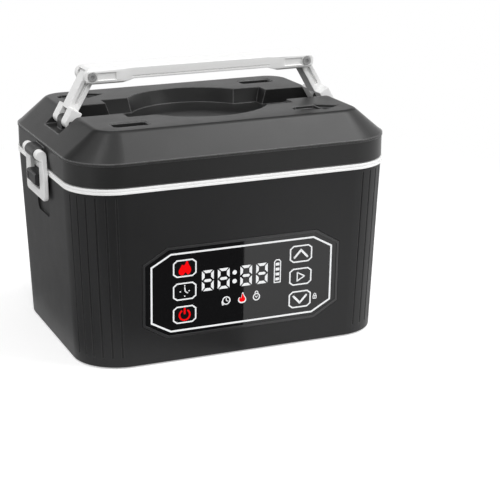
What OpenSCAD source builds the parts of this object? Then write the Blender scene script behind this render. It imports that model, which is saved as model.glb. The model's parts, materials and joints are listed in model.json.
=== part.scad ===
// Electric lunch box: a heated base, a lift-off lid with a folding handle and two end latches,
// and a steel food container with its own vented lid.
// Millimetres. X runs along the long side, the control panel faces -Y, the box stands on Z = 0.

/* [Body] */
// Length of the body at its rim
body_w = 250; // [215:1:300]
// Depth of the body at its rim, front to back
body_d = 188; // [165:1:225]
// Height of the body's rim above the table
rim_z = 132.8; // [120:0.1:160]
// How far each wall leans in from the rim down to the base
wall_lean = 5; // [2:0.1:6]
// Radius of the body's upright corners
corner_r = 35; // [30:1:42]
// Wall thickness of the body
body_wall = 3; // [2.4:0.1:3.4]
// Depth of the upright grooves on the corners
flute_depth = 0.8; // [0.4:0.1:1.2]
// Thickness of the plate under the body
base_t = 2.6; // [2:0.1:4]
// Radius of the rubber feet
foot_r = 8; // [6:0.5:10]
// How far the feet stand out below the body
foot_h = 1.2; // [0.8:0.1:3]

/* [Trim band] */
// Height of the white band round the rim
band_h = 4; // [3:0.1:6]
// How far the band stands out from the wall
band_proud = 0.6; // [0.3:0.1:1]

/* [Control panel] */
// Width of the touch window
panel_w = 156; // [120:1:170]
// Height of the touch window
panel_h = 70; // [56:1:76]
// Width cut off each corner of the window
panel_cut_w = 19; // [12:0.5:22]
// Height cut off each corner of the window
panel_cut_h = 11.5; // [8:0.5:14]
// Height of the window's middle above the table
panel_z = 54.5; // [50:0.5:62]
// Thickness of the touch window
window_t = 1.4; // [1.2:0.1:1.6]
// Width of the frame round the window
bezel_t = 2; // [1.5:0.1:3]

/* [Lid] */
// Gap that shows between the band and the lid
seam = 0.5; // [0.3:0.1:1]
// Height of the lid's upright skirt
skirt_h = 17.6; // [15:0.1:24]
// Height of the slope above the skirt
slope_h = 19.1; // [18:0.1:24]
// Inset of the lid's top at each end
slope_w = 22.5; // [18:0.5:24]
// Inset of the lid's top at the front and the back
slope_d = 17.7; // [14:0.5:20]
// Corner radius of the lid's top
lid_top_r = 16; // [12:1:20]
// Wall thickness of the lid
lid_wall = 2.4; // [2:0.1:2.8]
// Radius of the soft edge round the lid's top
top_round = 6; // [3:0.5:7]

/* [Handle recess] */
// Depth of the recess in the lid's top
recess_h = 11.5; // [11:0.1:12.5]
// Radius of the round hollow under the grip, at the top
bowl_r = 55.5; // [50:0.5:60]
// Half length of the wide pocket beside the hollow
pocket_x = 66.5; // [62:0.5:72]
// Half width of that pocket
pocket_y = 33; // [28:0.5:38]
// Half width of the channel for the legs
channel_y = 19.8; // [19:0.1:22]
// How far the recess walls lean in towards the floor
recess_lean = 3.5; // [2:0.5:4]

/* [Handle] */
// Distance of the legs' axles from the lid's ends
axle_inset = 19.5; // [18:0.5:22]
// Length of a leg between its two axles
leg_len = 37.5; // [34:0.5:42]
// Angle of the raised legs above the lid
leg_angle = 60; // [50:1:70]
// Thickness of a leg
leg_t = 8.6; // [7:0.1:9]
// Width of a leg's shank
shank_w = 14.4; // [12:0.1:16]
// Width of a leg's fork
fork_w = 33.6; // [28:0.1:36]
// Width of the hinge block that the fork straddles
knuckle_w = 10.4; // [8:0.1:12]
// Width of the grip
grip_w = 26; // [24:0.5:30]
// Height of the grip at its ends
grip_h = 12; // [11.6:0.1:14]
// How much thinner the middle of the grip is
grip_relief = 2.7; // [1:0.1:3]

/* [Latches] */
// Width of a latch
latch_w = 49; // [40:1:60]
// Width of the window in a latch
latch_gap = 24; // [18:1:30]
// Thickness of a latch
latch_t = 3.4; // [2.8:0.1:4]
// Length of a latch below its axle
latch_drop = 33.5; // [30:0.5:36]
// Height of a latch's cross bar
latch_bar = 6.5; // [5:0.1:8]
// How far the catch stands out from the body
catch_proud = 8; // [7:0.1:9]

/* [Heated well] */
// Space between the body and the well at each end
well_gap_w = 22; // [21:0.5:28]
// Space between the body and the well at the front and the back
well_gap_d = 21; // [20:0.5:26]
// Height of the well's floor above the table
well_z = 44; // [43:0.5:50]
// Corner radius of the well
well_r = 24; // [18:1:30]
// How far the well's walls lean in towards its floor
well_lean = 3; // [1:0.5:4]
// Thickness of the well's sheet metal
well_t = 1; // [0.8:0.1:1.2]
// Width of the flange round the well
flange_w = 7; // [5:0.5:8]
// Thickness of the blanket round the well
blanket_t = 5; // [3:0.5:6]

/* [Food container] */
// Height of the container
tub_h = 82; // [70:1:84]
// Gap between the container's rim and the well
tub_gap = 3; // [2:0.5:5]
// Thickness of the container's sheet steel
tub_t = 1; // [0.8:0.1:1.2]
// Height of the wider zone below the rim
tub_step_h = 20; // [12:1:28]
// Radius of the vent dial
dial_r = 13.5; // [10:0.5:16]

/* [Battery] */
// Diameter of a cell
cell_d = 18.4; // [17:0.1:21]
// Length of a cell
cell_l = 65; // [60:1:70]
// Number of cells side by side
cell_rows = 4; // [3:1:5]

/* [Hidden] */

eps = 0.01;
fine = 64;
coarse = 32;
smooth = 48;

// Heights up the box
deck_z = rim_z + band_h;
lid_z = deck_z + seam;
skirt_z = lid_z + skirt_h;
top_z = skirt_z + slope_h;
floor_z = top_z - recess_h;

// Slope of the body's walls
body_rise = rim_z - foot_h;
lean_w = atan(wall_lean / body_rise);
cover_z = foot_h + base_t;

// Well
well_w = body_w - 2 * well_gap_w;
well_d = body_d - 2 * well_gap_d;

// Screws
screw_r = 1.4;
screw_clear = 0.3;
screw_head_r = 3;
screw_head_h = 1.6;
boss_r = 4;

// Lid inner cover
gasket_h = 2.8;
cover_fit = 0.3;
liner_t = 2;
liner_z = deck_z + gasket_h;
lid_boss_inset = 10;

// Handle
axle_x = body_w / 2 - axle_inset;
axle_z = floor_z + leg_t / 2 + 1.7;
pin_r = 1.6;
run_fit = 0.06;
side_gap = 0.4;
grip_x = axle_x - leg_len * cos(leg_angle);
grip_z = axle_z + leg_len * sin(leg_angle);
shoe_travel = 0.56 * leg_len;
shoe_l = 8;
shoe_h = 5;
shoe_w = 3;
shoe_axle_r = 2;
fork_l = 10.4;
crotch_l = 8.4;
ear_slot_x = grip_x - shoe_travel - shoe_l / 2 - 1;
ear_slot_y = shank_w / 2 + side_gap;
roof_t = 1.5;
track_y = ear_slot_y + shoe_w + 0.4;
grip_drop = grip_h / 2 - 0.3;
grip_head_h = 0.9;
side_step = 0.6;
relief_x = ear_slot_x + 2.5;
ramp_l = 9;
plate_x = relief_x - ramp_l - 1.2;
cap_r = 3.1;
cap_t = 1.2;
cap_inset = 0.8;

// Latches
latch_x = body_w / 2 + 4.6;
latch_z = lid_z + 9.7;
latch_eye_r = 4;
latch_eye_w = 8.3;
latch_pin_r = 1.5;
latch_in = 3.2;
latch_bottom = latch_z - latch_drop;
hub_r = 4.6;
catch_w = latch_gap - 1;

// Food container
tub_z = well_z + 0.1;
tub_w = well_w - 2 * tub_gap;
tub_d = well_d - 2 * tub_gap;
tub_r = well_r - tub_gap;
tub_lip = 3;
tub_lip_h = 2.2;
tub_lean = 5;
tub_top = tub_z + tub_h;
cap_h = 5;
seal_h = 4.5;
seal_w = 3;
vent_r = 4.2;

// Battery and boards
cell_pitch = cell_d + 1.2;
cell_z = cover_z + 2 + cell_d / 2;
tray_t = 2;
pack_x = -32;
display_w = 96;
display_h = 42;
board_w = 56;
ribbon_lap = 1;     // how far the display ribbon reaches over the board, at least
board_x = min(body_w / 2 - 50, display_w / 2 + board_w / 2 - ribbon_lap);
board_z = 14;
board_t = 1.6;

function body_w_at(z) = body_w - 2 * wall_lean * (rim_z - z) / body_rise;
function body_d_at(z) = body_d - 2 * wall_lean * (rim_z - z) / body_rise;

// ---- Shared shapes ----

module rounded(w, d, r, fn = fine) {
    square([w - 2 * r, d], center = true);
    square([w, d - 2 * r], center = true);
    for (sx = [-1, 1], sy = [-1, 1])
        translate([sx * (w / 2 - r), sy * (d / 2 - r)]) circle(r = r, $fn = fn);
}

module slab(w, d, r, z0, z1, fn = fine) {
    translate([0, 0, z0]) linear_extrude(height = z1 - z0) rounded(w, d, r, fn);
}

module ring(w, d, r, t, z0, z1) {
    translate([0, 0, z0]) linear_extrude(height = z1 - z0) difference() {
        rounded(w, d, r);
        rounded(w - 2 * t, d - 2 * t, r - t);
    }
}

// Upright walls that lean in towards the bottom
module leaning(w0, d0, w1, d1, r, z0, z1) {
    hull() {
        posts(w0, d0, r, z0, z0 + eps);
        posts(w1, d1, r, z1 - eps, z1);
    }
}

module posts(w, d, r, z0, z1) {
    for (sx = [-1, 1], sy = [-1, 1])
        translate([sx * (w / 2 - r), sy * (d / 2 - r), z0])
            cylinder(r = r, h = z1 - z0, $fn = smooth);
}

// The body's rim outline, shrunk to each height and set in from the wall
module body_between(z0, z1, inset) {
    w0 = body_w_at(z0) - 2 * inset;
    d0 = body_d_at(z0) - 2 * inset;
    w1 = body_w_at(z1) - 2 * inset;
    d1 = body_d_at(z1) - 2 * inset;
    translate([0, 0, z0])
        linear_extrude(height = z1 - z0, slices = 1, scale = [w1 / w0, d1 / d0])
            rounded(w0, d0, corner_r - inset);
}

module octagon(w, h, cut_w, cut_h) {
    polygon([
        [-w / 2 + cut_w, -h / 2], [w / 2 - cut_w, -h / 2],
        [w / 2, -h / 2 + cut_h], [w / 2, h / 2 - cut_h],
        [w / 2 - cut_w, h / 2], [-w / 2 + cut_w, h / 2],
        [-w / 2, h / 2 - cut_h], [-w / 2, -h / 2 + cut_h]
    ]);
}

// Puts a flat shape on the leaning front wall at a height, its +Z pointing outwards
module on_front(z) {
    translate([0, -body_d_at(z) / 2, z]) rotate([90 + lean_w, 0, 0]) children();
}

module on_back(z, x) {
    translate([x, body_d_at(z) / 2, z]) rotate([90 + lean_w, 0, 180]) children();
}

module both_ends() {
    for (s = [0, 1]) mirror([s, 0, 0]) children();
}

module along_y(r, y0, y1) {
    translate([0, y1, 0]) rotate([90, 0, 0]) cylinder(r = r, h = y1 - y0, $fn = coarse);
}

// ---- Base ----

flute_count = 6;
flute_start = 17;
flute_pitch = 12;
flute_low = foot_h + 7;
flute_high = rim_z - 2.6;

// Point on the corner's wall at an angle and a height
function corner_point(a, z) = let (w = body_w_at(foot_h), d = body_d_at(foot_h)) [
    (w / 2 - corner_r + corner_r * cos(a)) * body_w_at(z) / w,
    (d / 2 - corner_r + corner_r * sin(a)) * body_d_at(z) / d
];

module flute(a) {
    low = corner_point(a, flute_low);
    run = corner_point(a, flute_high) - low;
    rise = flute_high - flute_low;
    turn = atan2(run[1], run[0]);
    translate([low[0], low[1], flute_low]) rotate([0, atan(norm(run) / rise), turn])
        rotate(a - turn + 45) linear_extrude(height = norm([run[0], run[1], rise]))
            square(flute_depth * sqrt(2), center = true);
}

module flutes() {
    for (sx = [0, 1], sy = [0, 1]) mirror([sx, 0, 0]) mirror([0, sy, 0])
        for (k = [0:flute_count - 1]) flute(flute_start + flute_pitch * k);
}

function cover_screw_x() =
    body_w_at(foot_h) / 2 - corner_r + (corner_r - body_wall - boss_r + 0.6) * cos(45);
function cover_screw_y() =
    body_d_at(foot_h) / 2 - corner_r + (corner_r - body_wall - boss_r + 0.6) * cos(45);

module at_cover_screws() {
    for (sx = [-1, 1], sy = [-1, 1])
        translate([sx * cover_screw_x(), sy * cover_screw_y(), 0]) children();
}

scoop_w = 32;
scoop_h = 20;
scoop_depth = 1.6;
inlet_z = 30;
inlet_x = 60;
inlet_r = 6;
inlet_flange_r = 9;

module body_shell() {
    color("#2e2e2f") difference() {
        union() {
            difference() {
                body_between(foot_h, rim_z, 0);
                body_between(foot_h - 1, rim_z + 1, body_wall);
                flutes();
            }
            at_cover_screws()
                translate([0, 0, cover_z]) cylinder(r = boss_r, h = 12, $fn = coarse);
            on_front(panel_z) for (sx = [-1, 1], sy = [-1, 1])
                translate([sx * (display_w / 2 + 3), sy * (display_h / 2), -window_t - 6.5])
                    cylinder(r = 2.5, h = 6.5 + window_t - body_wall + 0.6, $fn = coarse);
        }
        at_cover_screws()
            translate([0, 0, cover_z - 1]) cylinder(r = screw_r, h = 10, $fn = coarse);
        on_front(panel_z) translate([0, 0, -window_t - 0.4])
            linear_extrude(height = 10)
                octagon(panel_w + 0.6, panel_h + 0.6, panel_cut_w, panel_cut_h);
        on_front(panel_z) translate([0, 0, -body_wall - 2])
            linear_extrude(height = 10) square([display_w, display_h], center = true);
        on_back(inlet_z, inlet_x) {
            translate([0, 0, -10]) cylinder(r = inlet_r + 0.1, h = 20, $fn = coarse);
            translate([0, 0, -1]) cylinder(r = inlet_flange_r + 0.2, h = 10, $fn = coarse);
        }
        both_ends() translate([body_w_at(latch_bottom - 4) / 2 - scoop_depth, 0, latch_bottom - 5])
            rotate([0, lean_w, 0]) rotate([90, 0, 90])
                linear_extrude(height = 5) rounded(scoop_w, scoop_h, 5, coarse);
    }
}

module bottom_cover() {
    color("#262627") difference() {
        union() {
            slab(body_w_at(foot_h) - 2 * body_wall - 0.8, body_d_at(foot_h) - 2 * body_wall - 0.8,
                corner_r - body_wall + 1, foot_h, cover_z);
            at_board_posts() {
                translate([0, 0, cover_z - 1])
                    cylinder(r = 3, h = board_z - cover_z + 1, $fn = coarse);
                translate([0, 0, cover_z]) cylinder(r = 1.5, h = board_z - cover_z + 3,
                    $fn = coarse);
            }
        }
        at_cover_screws() {
            cylinder(r = screw_r + screw_clear, h = 20, $fn = coarse);
            cylinder(r = screw_head_r + screw_clear, h = foot_h + screw_head_h, $fn = coarse);
        }
        at_feet() cylinder(r = foot_r + 0.05, h = foot_h + 1, $fn = coarse);
        for (x = [-40:10:40])
            translate([x, 0, 0]) linear_extrude(height = 20)
                square([4, 40], center = true);
    }
}

module at_feet() {
    for (sx = [-1, 1], sy = [-1, 1])
        translate([sx * (body_w / 2 - 44), sy * (body_d / 2 - 30), 0]) children();
}

module rubber_feet() {
    color("#1b1b1b") at_feet() difference() {
        cylinder(r = foot_r, h = foot_h + 1, $fn = coarse);
        translate([0, 0, -eps]) cylinder(r = foot_r - 3, h = 0.4, $fn = coarse);
    }
}

module bottom_screws() {
    color("#b9bcc0") at_cover_screws() {
        translate([0, 0, foot_h + screw_head_h])
            cylinder(r = screw_r - 0.02, h = 9, $fn = coarse);
        translate([0, 0, foot_h + 0.1]) difference() {
            cylinder(r = screw_head_r, h = screw_head_h - 0.1, $fn = coarse);
            translate([0, 0, -eps]) linear_extrude(height = 0.8) {
                square([3.6, 0.7], center = true);
                square([0.7, 3.6], center = true);
            }
        }
    }
}

module trim_band() {
    spigot_t = 1.6;
    color("#f2f2f0") {
        difference() {
            slab(body_w + 2 * band_proud, body_d + 2 * band_proud, corner_r + band_proud,
                rim_z, deck_z);
            slab(well_w + 2 * well_t + 0.8, well_d + 2 * well_t + 0.8, well_r + well_t + 0.4,
                rim_z - 1, deck_z + 1);
            slab(well_w + 2 * flange_w + 0.6, well_d + 2 * flange_w + 0.6,
                well_r + flange_w + 0.3, deck_z - well_t, deck_z + 1);
            ring(body_w + 2 * band_proud + 2, body_d + 2 * band_proud + 2,
                corner_r + band_proud + 1, 1.4, rim_z + band_h / 2 - 0.3,
                rim_z + band_h / 2 + 0.3);
        }
        ring(body_w_at(rim_z - 3) - 2 * body_wall - 0.6, body_d_at(rim_z - 3) - 2 * body_wall - 0.6,
            corner_r, spigot_t, rim_z - 3, rim_z);
    }
}

module inner_liner() {
    color("#c9ccd0") difference() {
        union() {
            leaning(well_w - 2 * well_lean + 2 * well_t, well_d - 2 * well_lean + 2 * well_t,
                well_w + 2 * well_t, well_d + 2 * well_t, well_r + well_t, well_z - well_t,
                deck_z - well_t);
            slab(well_w + 2 * flange_w, well_d + 2 * flange_w, well_r + flange_w,
                deck_z - well_t, deck_z);
        }
        leaning(well_w - 2 * well_lean, well_d - 2 * well_lean, well_w, well_d, well_r,
            well_z, deck_z + eps);
    }
}

module liner_insulation() {
    w0 = well_w - 2 * well_lean + 2 * well_t + 0.8;
    d0 = well_d - 2 * well_lean + 2 * well_t + 0.8;
    w1 = well_w + 2 * well_t + 0.8;
    d1 = well_d + 2 * well_t + 0.8;
    color("#e6e1d6") difference() {
        leaning(w0 + 2 * blanket_t, d0 + 2 * blanket_t, w1 + 2 * blanket_t, d1 + 2 * blanket_t,
            well_r + blanket_t, well_z + 2, rim_z - 6);
        leaning(w0, d0, w1, d1, well_r + well_t, well_z + 2 - eps, rim_z - 6 + eps);
    }
}

plate_t = 3;
element_t = 1.6;

module heating_plate() {
    color("#b4b8bd") difference() {
        slab(well_w - 36, well_d - 36, 12, well_z - well_t - plate_t, well_z - well_t);
        for (sx = [-1, 1], sy = [-1, 1])
            translate([sx * (well_w / 2 - 24), sy * (well_d / 2 - 24), well_z - 8])
                cylinder(r = 2, h = 12, $fn = coarse);
    }
}

module heating_element() {
    z1 = well_z - well_t - plate_t;
    color("#8a6f4d") slab(well_w - 56, well_d - 56, 6, z1 - element_t, z1);
}

module thermal_cutoff() {
    z1 = well_z - well_t - plate_t - element_t;
    color("#d8d3c4") {
        translate([0, 0, z1 - 6]) cylinder(r = 8, h = 6, $fn = fine);
        translate([0, 0, z1 - 8]) cylinder(r = 5.5, h = 2, $fn = fine);
        for (s = [-1, 1])
            translate([s * 3 - 0.4, -3, z1 - 11]) cube([0.8, 6, 3]);
    }
}

pack_l = 2 * cell_l + 3;
pack_d = cell_rows * cell_pitch;

module at_cells() {
    for (c = [-1, 1], k = [0:cell_rows - 1])
        translate([pack_x + c * (cell_l + 3) / 2, (k - (cell_rows - 1) / 2) * cell_pitch, cell_z])
            rotate([0, 90, 0]) children();
}

module battery_cells() {
    color("#3f74b5") at_cells() {
        cylinder(r = cell_d / 2, h = cell_l - 2, center = true, $fn = fine);
        translate([0, 0, cell_l / 2 - 1]) cylinder(r = cell_d / 2 - 3, h = 1, $fn = coarse);
    }
}

module battery_holder() {
    color("#3a3a3c") difference() {
        translate([pack_x - pack_l / 2 - tray_t, -pack_d / 2 - tray_t, cover_z])
            cube([pack_l + 2 * tray_t, pack_d + 2 * tray_t, cell_d / 2 + 2]);
        at_cells() cylinder(r = cell_d / 2 + 0.2, h = cell_l + 1, center = true, $fn = fine);
        translate([pack_x - pack_l / 2, -pack_d / 2, cell_z - 2])
            cube([pack_l, pack_d, cell_d]);
    }
}

board_d = body_d - 68;

module at_board_posts() {
    for (sx = [-1, 1], sy = [-1, 1])
        translate([board_x + sx * (board_w / 2 - 5), sy * (board_d / 2 - 5), 0]) children();
}

module main_board() {
    color("#1d6b3f") difference() {
        translate([board_x - board_w / 2, -board_d / 2, board_z])
            cube([board_w, board_d, board_t]);
        at_board_posts() translate([0, 0, board_z - 1])
            cylinder(r = 1.7, h = board_t + 2, $fn = coarse);
    }
}

module board_parts() {
    z = board_z + board_t;
    color("#55585c") {
        for (k = [0:2])
            translate([board_x + 14, -30 + 22 * k, z]) cylinder(r = 7, h = 15, $fn = coarse);
        translate([board_x - 22, -34, z]) cube([14, 44, 12]);
        for (k = [0:5])
            translate([board_x - 22, -34 + 8 * k, z + 12]) cube([14, 2, 5]);
        translate([board_x - 20, 22, z]) cube([12, 12, 9]);
        translate([board_x - 24, board_d / 2 - 16, z]) cube([20, 8, 8]);
    }
}

module charging_inlet() {
    color("#1f1f20") on_back(inlet_z, inlet_x) {
        difference() {
            union() {
                translate([0, 0, -1]) cylinder(r = inlet_flange_r, h = 1.3, $fn = fine);
                translate([0, 0, -body_wall - 8]) cylinder(r = inlet_r, h = body_wall + 7.5,
                    $fn = fine);
            }
            translate([0, 0, -9]) cylinder(r = 2.8, h = 12, $fn = coarse);
        }
        translate([0, 0, -9.5]) cylinder(r = 1, h = 8, $fn = coarse);
    }
}

module panel_window() {
    color("#0d0d0e") on_front(panel_z) translate([0, 0, -window_t - 0.3])
        linear_extrude(height = window_t)
            octagon(panel_w - 2 * bezel_t, panel_h - 2 * bezel_t,
                panel_cut_w - bezel_t / 2, panel_cut_h - bezel_t / 2);
}

module panel_bezel() {
    color("#1a1a1b") on_front(panel_z) translate([0, 0, -window_t - 0.3])
        linear_extrude(height = window_t + 0.5) difference() {
            octagon(panel_w, panel_h, panel_cut_w, panel_cut_h);
            octagon(panel_w - 2 * bezel_t + 0.2, panel_h - 2 * bezel_t + 0.2,
                panel_cut_w - bezel_t / 2, panel_cut_h - bezel_t / 2);
        }
}

module led_display() {
    color("#e9e9ea") on_front(panel_z) translate([0, 0, -window_t - 0.5 - 6])
        linear_extrude(height = 6) square([display_w - 6, display_h - 6], center = true);
}

module display_board() {
    color("#1d6b3f") on_front(panel_z) translate([0, 0, -window_t - 0.5 - 6 - board_t])
        linear_extrude(height = board_t) square([display_w + 14, display_h + 6], center = true);
}

ribbon_w = 12;
ribbon_t = 0.8;

module display_ribbon() {
    y_board = -body_d_at(panel_z) / 2 + window_t + 6.5 + board_t + ribbon_t + 0.3;
    y_in = -board_d / 2 + 6;
    z_top = panel_z - display_h / 2 + 2;
    z_low = board_z + board_t;
    color("#8d8f94") translate([display_w / 2 - ribbon_w, 0, 0]) rotate([90, 0, 90])
        linear_extrude(height = ribbon_w) {
            translate([y_board, z_low]) square([ribbon_t, z_top - z_low]);
            translate([y_board, z_low]) square([y_in - y_board, ribbon_t]);
        }
}

module heater_leads() {
    z1 = well_z - well_t - plate_t - element_t;
    color("#b3261e") for (s = [-1, 1])
        translate([board_x - 2, 3 * s + 38, board_z + board_t])
            cylinder(r = 1.1, h = z1 - board_z - board_t, $fn = coarse);
}

// Block on the end wall that a latch hooks under; its underside slopes up outwards
module latch_catch() {
    z0 = latch_bottom + latch_bar + 0.7;
    z1 = rim_z - 0.6;
    out = body_w / 2 + catch_proud;
    rise = 3.4;
    color("#2b2b2c") difference() {
        translate([0, catch_w / 2, 0]) rotate([90, 0, 0]) linear_extrude(height = catch_w)
            polygon([
                [body_w_at(z0) / 2, z0], [latch_x - latch_in, z0], [out, z0 + rise],
                [out, z1 - 1], [out - 1, z1], [body_w_at(z1) / 2, z1]
            ]);
        translate([out - 0.5, -catch_w / 2 + 2, z0 + rise + 1.2])
            cube([2, catch_w - 4, z1 - z0 - rise - 3.4]);
    }
}

module latch_catch_left() mirror([1, 0, 0]) latch_catch();
module latch_catch_right() latch_catch();

// ---- Lid ----

module recess(grow, drop) {
    z0 = floor_z - drop;
    z1 = top_z + eps;
    translate([0, 0, z0])
        cylinder(r1 = bowl_r - recess_lean + grow, r2 = bowl_r + grow, h = z1 - z0, $fn = fine);
    hull() {
        tray(pocket_x - recess_lean + grow, pocket_y - recess_lean + grow, z0);
        tray(pocket_x + grow, pocket_y + grow, z1 - 1);
    }
    hull() {
        tray(body_w / 2 + 4, channel_y - 0.8 + grow, z0);
        tray(body_w / 2 + 4, channel_y + grow, z1 - 1);
    }
}

module tray(half_w, half_d, z) {
    translate([-half_w, -half_d, z]) cube([2 * half_w, 2 * half_d, 1]);
}

slot_l = 26;
slot_d = 13;
slot_x = 73;
slot_y = 56;
slot_depth = 4.4;
slot_ledge = 0.7;
arrow_x = 75;
arrow_depth = 2.4;

module slot_outline(grow) {
    rounded(slot_l + 2 * grow, slot_d + 2 * grow, 2.5 + grow, coarse);
}

module arrow_outline() {
    polygon([[-19, -3], [-14, -7], [0.6, -7], [0.6, 7], [-14, 7], [-19, 3]]);
    polygon([[2, -10.5], [18.5, 0], [2, 10.5]]);
}

module at_slots() {
    for (s = [-1, 1]) translate([s * slot_x, s * slot_y, 0]) children();
}

module at_arrows() {
    for (s = [-1, 1]) translate([s * arrow_x, -s * slot_y, 0]) children();
}

module at_lid_screws() {
    for (sx = [-1, 1], sy = [-1, 1]) {
        translate([sx * (body_w / 2 - lid_boss_inset), sy * body_d / 5, 0]) children();
        translate([sx * body_w / 5, sy * (body_d / 2 - lid_boss_inset), 0]) children();
    }
}

// Soft edge between the lid's top and its slopes, one stack of cones at each corner
module crown() {
    flat_r = lid_top_r - top_round * tan(22.5);
    steps = 4;
    for (sx = [-1, 1], sy = [-1, 1], k = [0:steps - 1]) {
        a0 = 45 * k / steps;
        a1 = 45 * (k + 1) / steps;
        translate([sx * (body_w / 2 - slope_w - lid_top_r), sy * (body_d / 2 - slope_d - lid_top_r),
            top_z - top_round * (1 - cos(a1))])
            cylinder(r1 = flat_r + top_round * sin(a1), r2 = flat_r + top_round * sin(a0),
                h = top_round * (cos(a0) - cos(a1)), $fn = smooth);
    }
}

module lid_outside() {
    hull() {
        posts(body_w, body_d, corner_r + 1, lid_z, skirt_z);
        crown();
    }
    slab(body_w + 1, body_d + 1, corner_r + 1.5, skirt_z - 1.6, skirt_z);
}

module lid_inside() {
    hull() {
        posts(body_w - 2 * lid_wall, body_d - 2 * lid_wall, corner_r + 1 - lid_wall,
            lid_z - 1, skirt_z - lid_wall / 2);
        posts(body_w - 2 * slope_w - lid_wall, body_d - 2 * slope_d - lid_wall, lid_top_r,
            top_z - lid_wall - 1, top_z - lid_wall);
    }
}

module latch_hub() {
    hub_w = latch_gap - 2.4;
    translate([latch_x, 0, latch_z]) {
        along_y(hub_r, -hub_w / 2, hub_w / 2);
        translate([-latch_x + body_w / 2 - 1, -hub_w / 2, -hub_r])
            cube([latch_x - body_w / 2 + 1, hub_w, 2 * hub_r]);
    }
}

module knuckle() {
    translate([axle_x, 0, axle_z]) along_y(leg_t / 2, -knuckle_w / 2, knuckle_w / 2);
    translate([axle_x - leg_t / 2, -knuckle_w / 2, floor_z - 1])
        cube([leg_t, knuckle_w, axle_z - floor_z + 1]);
}

module lid_shell() {
    color("#333334") difference() {
        union() {
            difference() {
                lid_outside();
                difference() {
                    lid_inside();
                    recess(lid_wall, lid_wall);
                    at_slots() translate([0, 0, top_z - slot_depth - 2])
                        linear_extrude(height = 20) slot_outline(2.6);
                    at_arrows() translate([0, 0, top_z - arrow_depth - 2])
                        linear_extrude(height = 20) square([42, 25], center = true);
                    at_lid_screws() cylinder(r = boss_r, h = 400, $fn = coarse);
                }
                recess(0, 0);
            }
            both_ends() {
                latch_hub();
                knuckle();
            }
        }
        at_slots() {
            translate([0, 0, top_z - slot_depth]) linear_extrude(height = 20) slot_outline(0);
            translate([0, 0, top_z - slot_ledge]) linear_extrude(height = 20) slot_outline(1);
        }
        at_arrows() translate([0, 0, top_z - arrow_depth])
            linear_extrude(height = 20) arrow_outline();
        slab(body_w - 2 * lid_wall, body_d - 2 * lid_wall, corner_r + 1 - lid_wall,
            lid_z - 1, liner_z + liner_t);
        at_lid_screws() translate([0, 0, lid_z])
            cylinder(r = screw_r, h = liner_z + liner_t + 9 - lid_z, $fn = coarse);
        both_ends() {
            translate([axle_x, 0, axle_z]) along_y(pin_r, -20, 20);
            translate([latch_x, 0, latch_z]) along_y(latch_pin_r, -30, 30);
        }
    }
}

module lid_liner() {
    w = body_w - 2 * lid_wall - 2 * cover_fit;
    d = body_d - 2 * lid_wall - 2 * cover_fit;
    r = corner_r + 1 - lid_wall - cover_fit;
    color("#d9dadb") difference() {
        slab(w, d, r, liner_z, liner_z + liner_t);
        slab(well_w - 30, well_d - 30, well_r, liner_z - 1, liner_z + 0.8);
        at_lid_screws() cylinder(r = screw_r + screw_clear, h = 400, $fn = coarse);
    }
}

module lid_insulation() {
    color("#e6e1d6") slab(body_w - 60, body_d - 58, 14, liner_z + liner_t + 0.4,
        floor_z - lid_wall - 0.6);
}

module lid_gasket() {
    w = well_w + 2 * flange_w;
    d = well_d + 2 * flange_w;
    color("#a9abae") {
        ring(w, d, well_r + flange_w, flange_w - 1, deck_z + 1.4, liner_z);
        ring(w - 2, d - 2, well_r + flange_w - 1, 1.6, deck_z, deck_z + 1.4);
        ring(w - 7.6, d - 7.6, well_r + flange_w - 3.8, 1.6, deck_z, deck_z + 1.4);
    }
}

module lid_screws() {
    color("#b9bcc0") at_lid_screws() {
        translate([0, 0, liner_z]) cylinder(r = screw_r - 0.02, h = liner_t + 8, $fn = coarse);
        translate([0, 0, liner_z - screw_head_h])
            cylinder(r = screw_head_r, h = screw_head_h, $fn = coarse);
    }
}

module leg_pins() {
    color("#b9bcc0") both_ends() translate([axle_x, 0, axle_z])
        along_y(pin_r - 0.02, -fork_w / 2 + 1.5, fork_w / 2 - 1.5);
}

function latch_pin_reach() = latch_gap / 2 - 0.8 + latch_eye_w - 1.2;

module latch_pins() {
    color("#b9bcc0") both_ends() translate([latch_x, 0, latch_z])
        along_y(latch_pin_r - 0.02, -latch_pin_reach(), latch_pin_reach());
}

// White bail: two arms that close in towards the axle, joined by a bar
module latch() {
    half = latch_w / 2;
    gap = latch_gap / 2;
    arm_in = gap - 0.8;
    knee = 10;
    eye_out = arm_in + latch_eye_w;
    color("#f2f2f0") translate([latch_x, 0, latch_z]) difference() {
        union() {
            translate([-latch_in, 0, 0]) rotate([90, 0, 90]) linear_extrude(height = latch_t)
                for (s = [0, 1]) mirror([s, 0]) {
                    polygon([
                        [arm_in, 0], [gap, -knee], [gap, latch_bar - latch_drop],
                        [0, latch_bar - latch_drop], [0, -latch_drop],
                        [half - 4, -latch_drop], [half, -latch_drop + 4],
                        [half, -knee], [eye_out, 0]
                    ]);
                    translate([half - 4, -latch_drop + 4]) circle(r = 4, $fn = coarse);
                }
            for (s = [0, 1]) mirror([0, s, 0]) along_y(latch_eye_r, arm_in, eye_out);
        }
        along_y(latch_pin_r + run_fit - 0.02, -latch_pin_reach() - 0.1, latch_pin_reach() + 0.1);
    }
}

module latch_left() mirror([1, 0, 0]) latch();
module latch_right() latch();

// ---- Handle ----

groove_w = 2.4;
groove_depth = 2.4;

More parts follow.
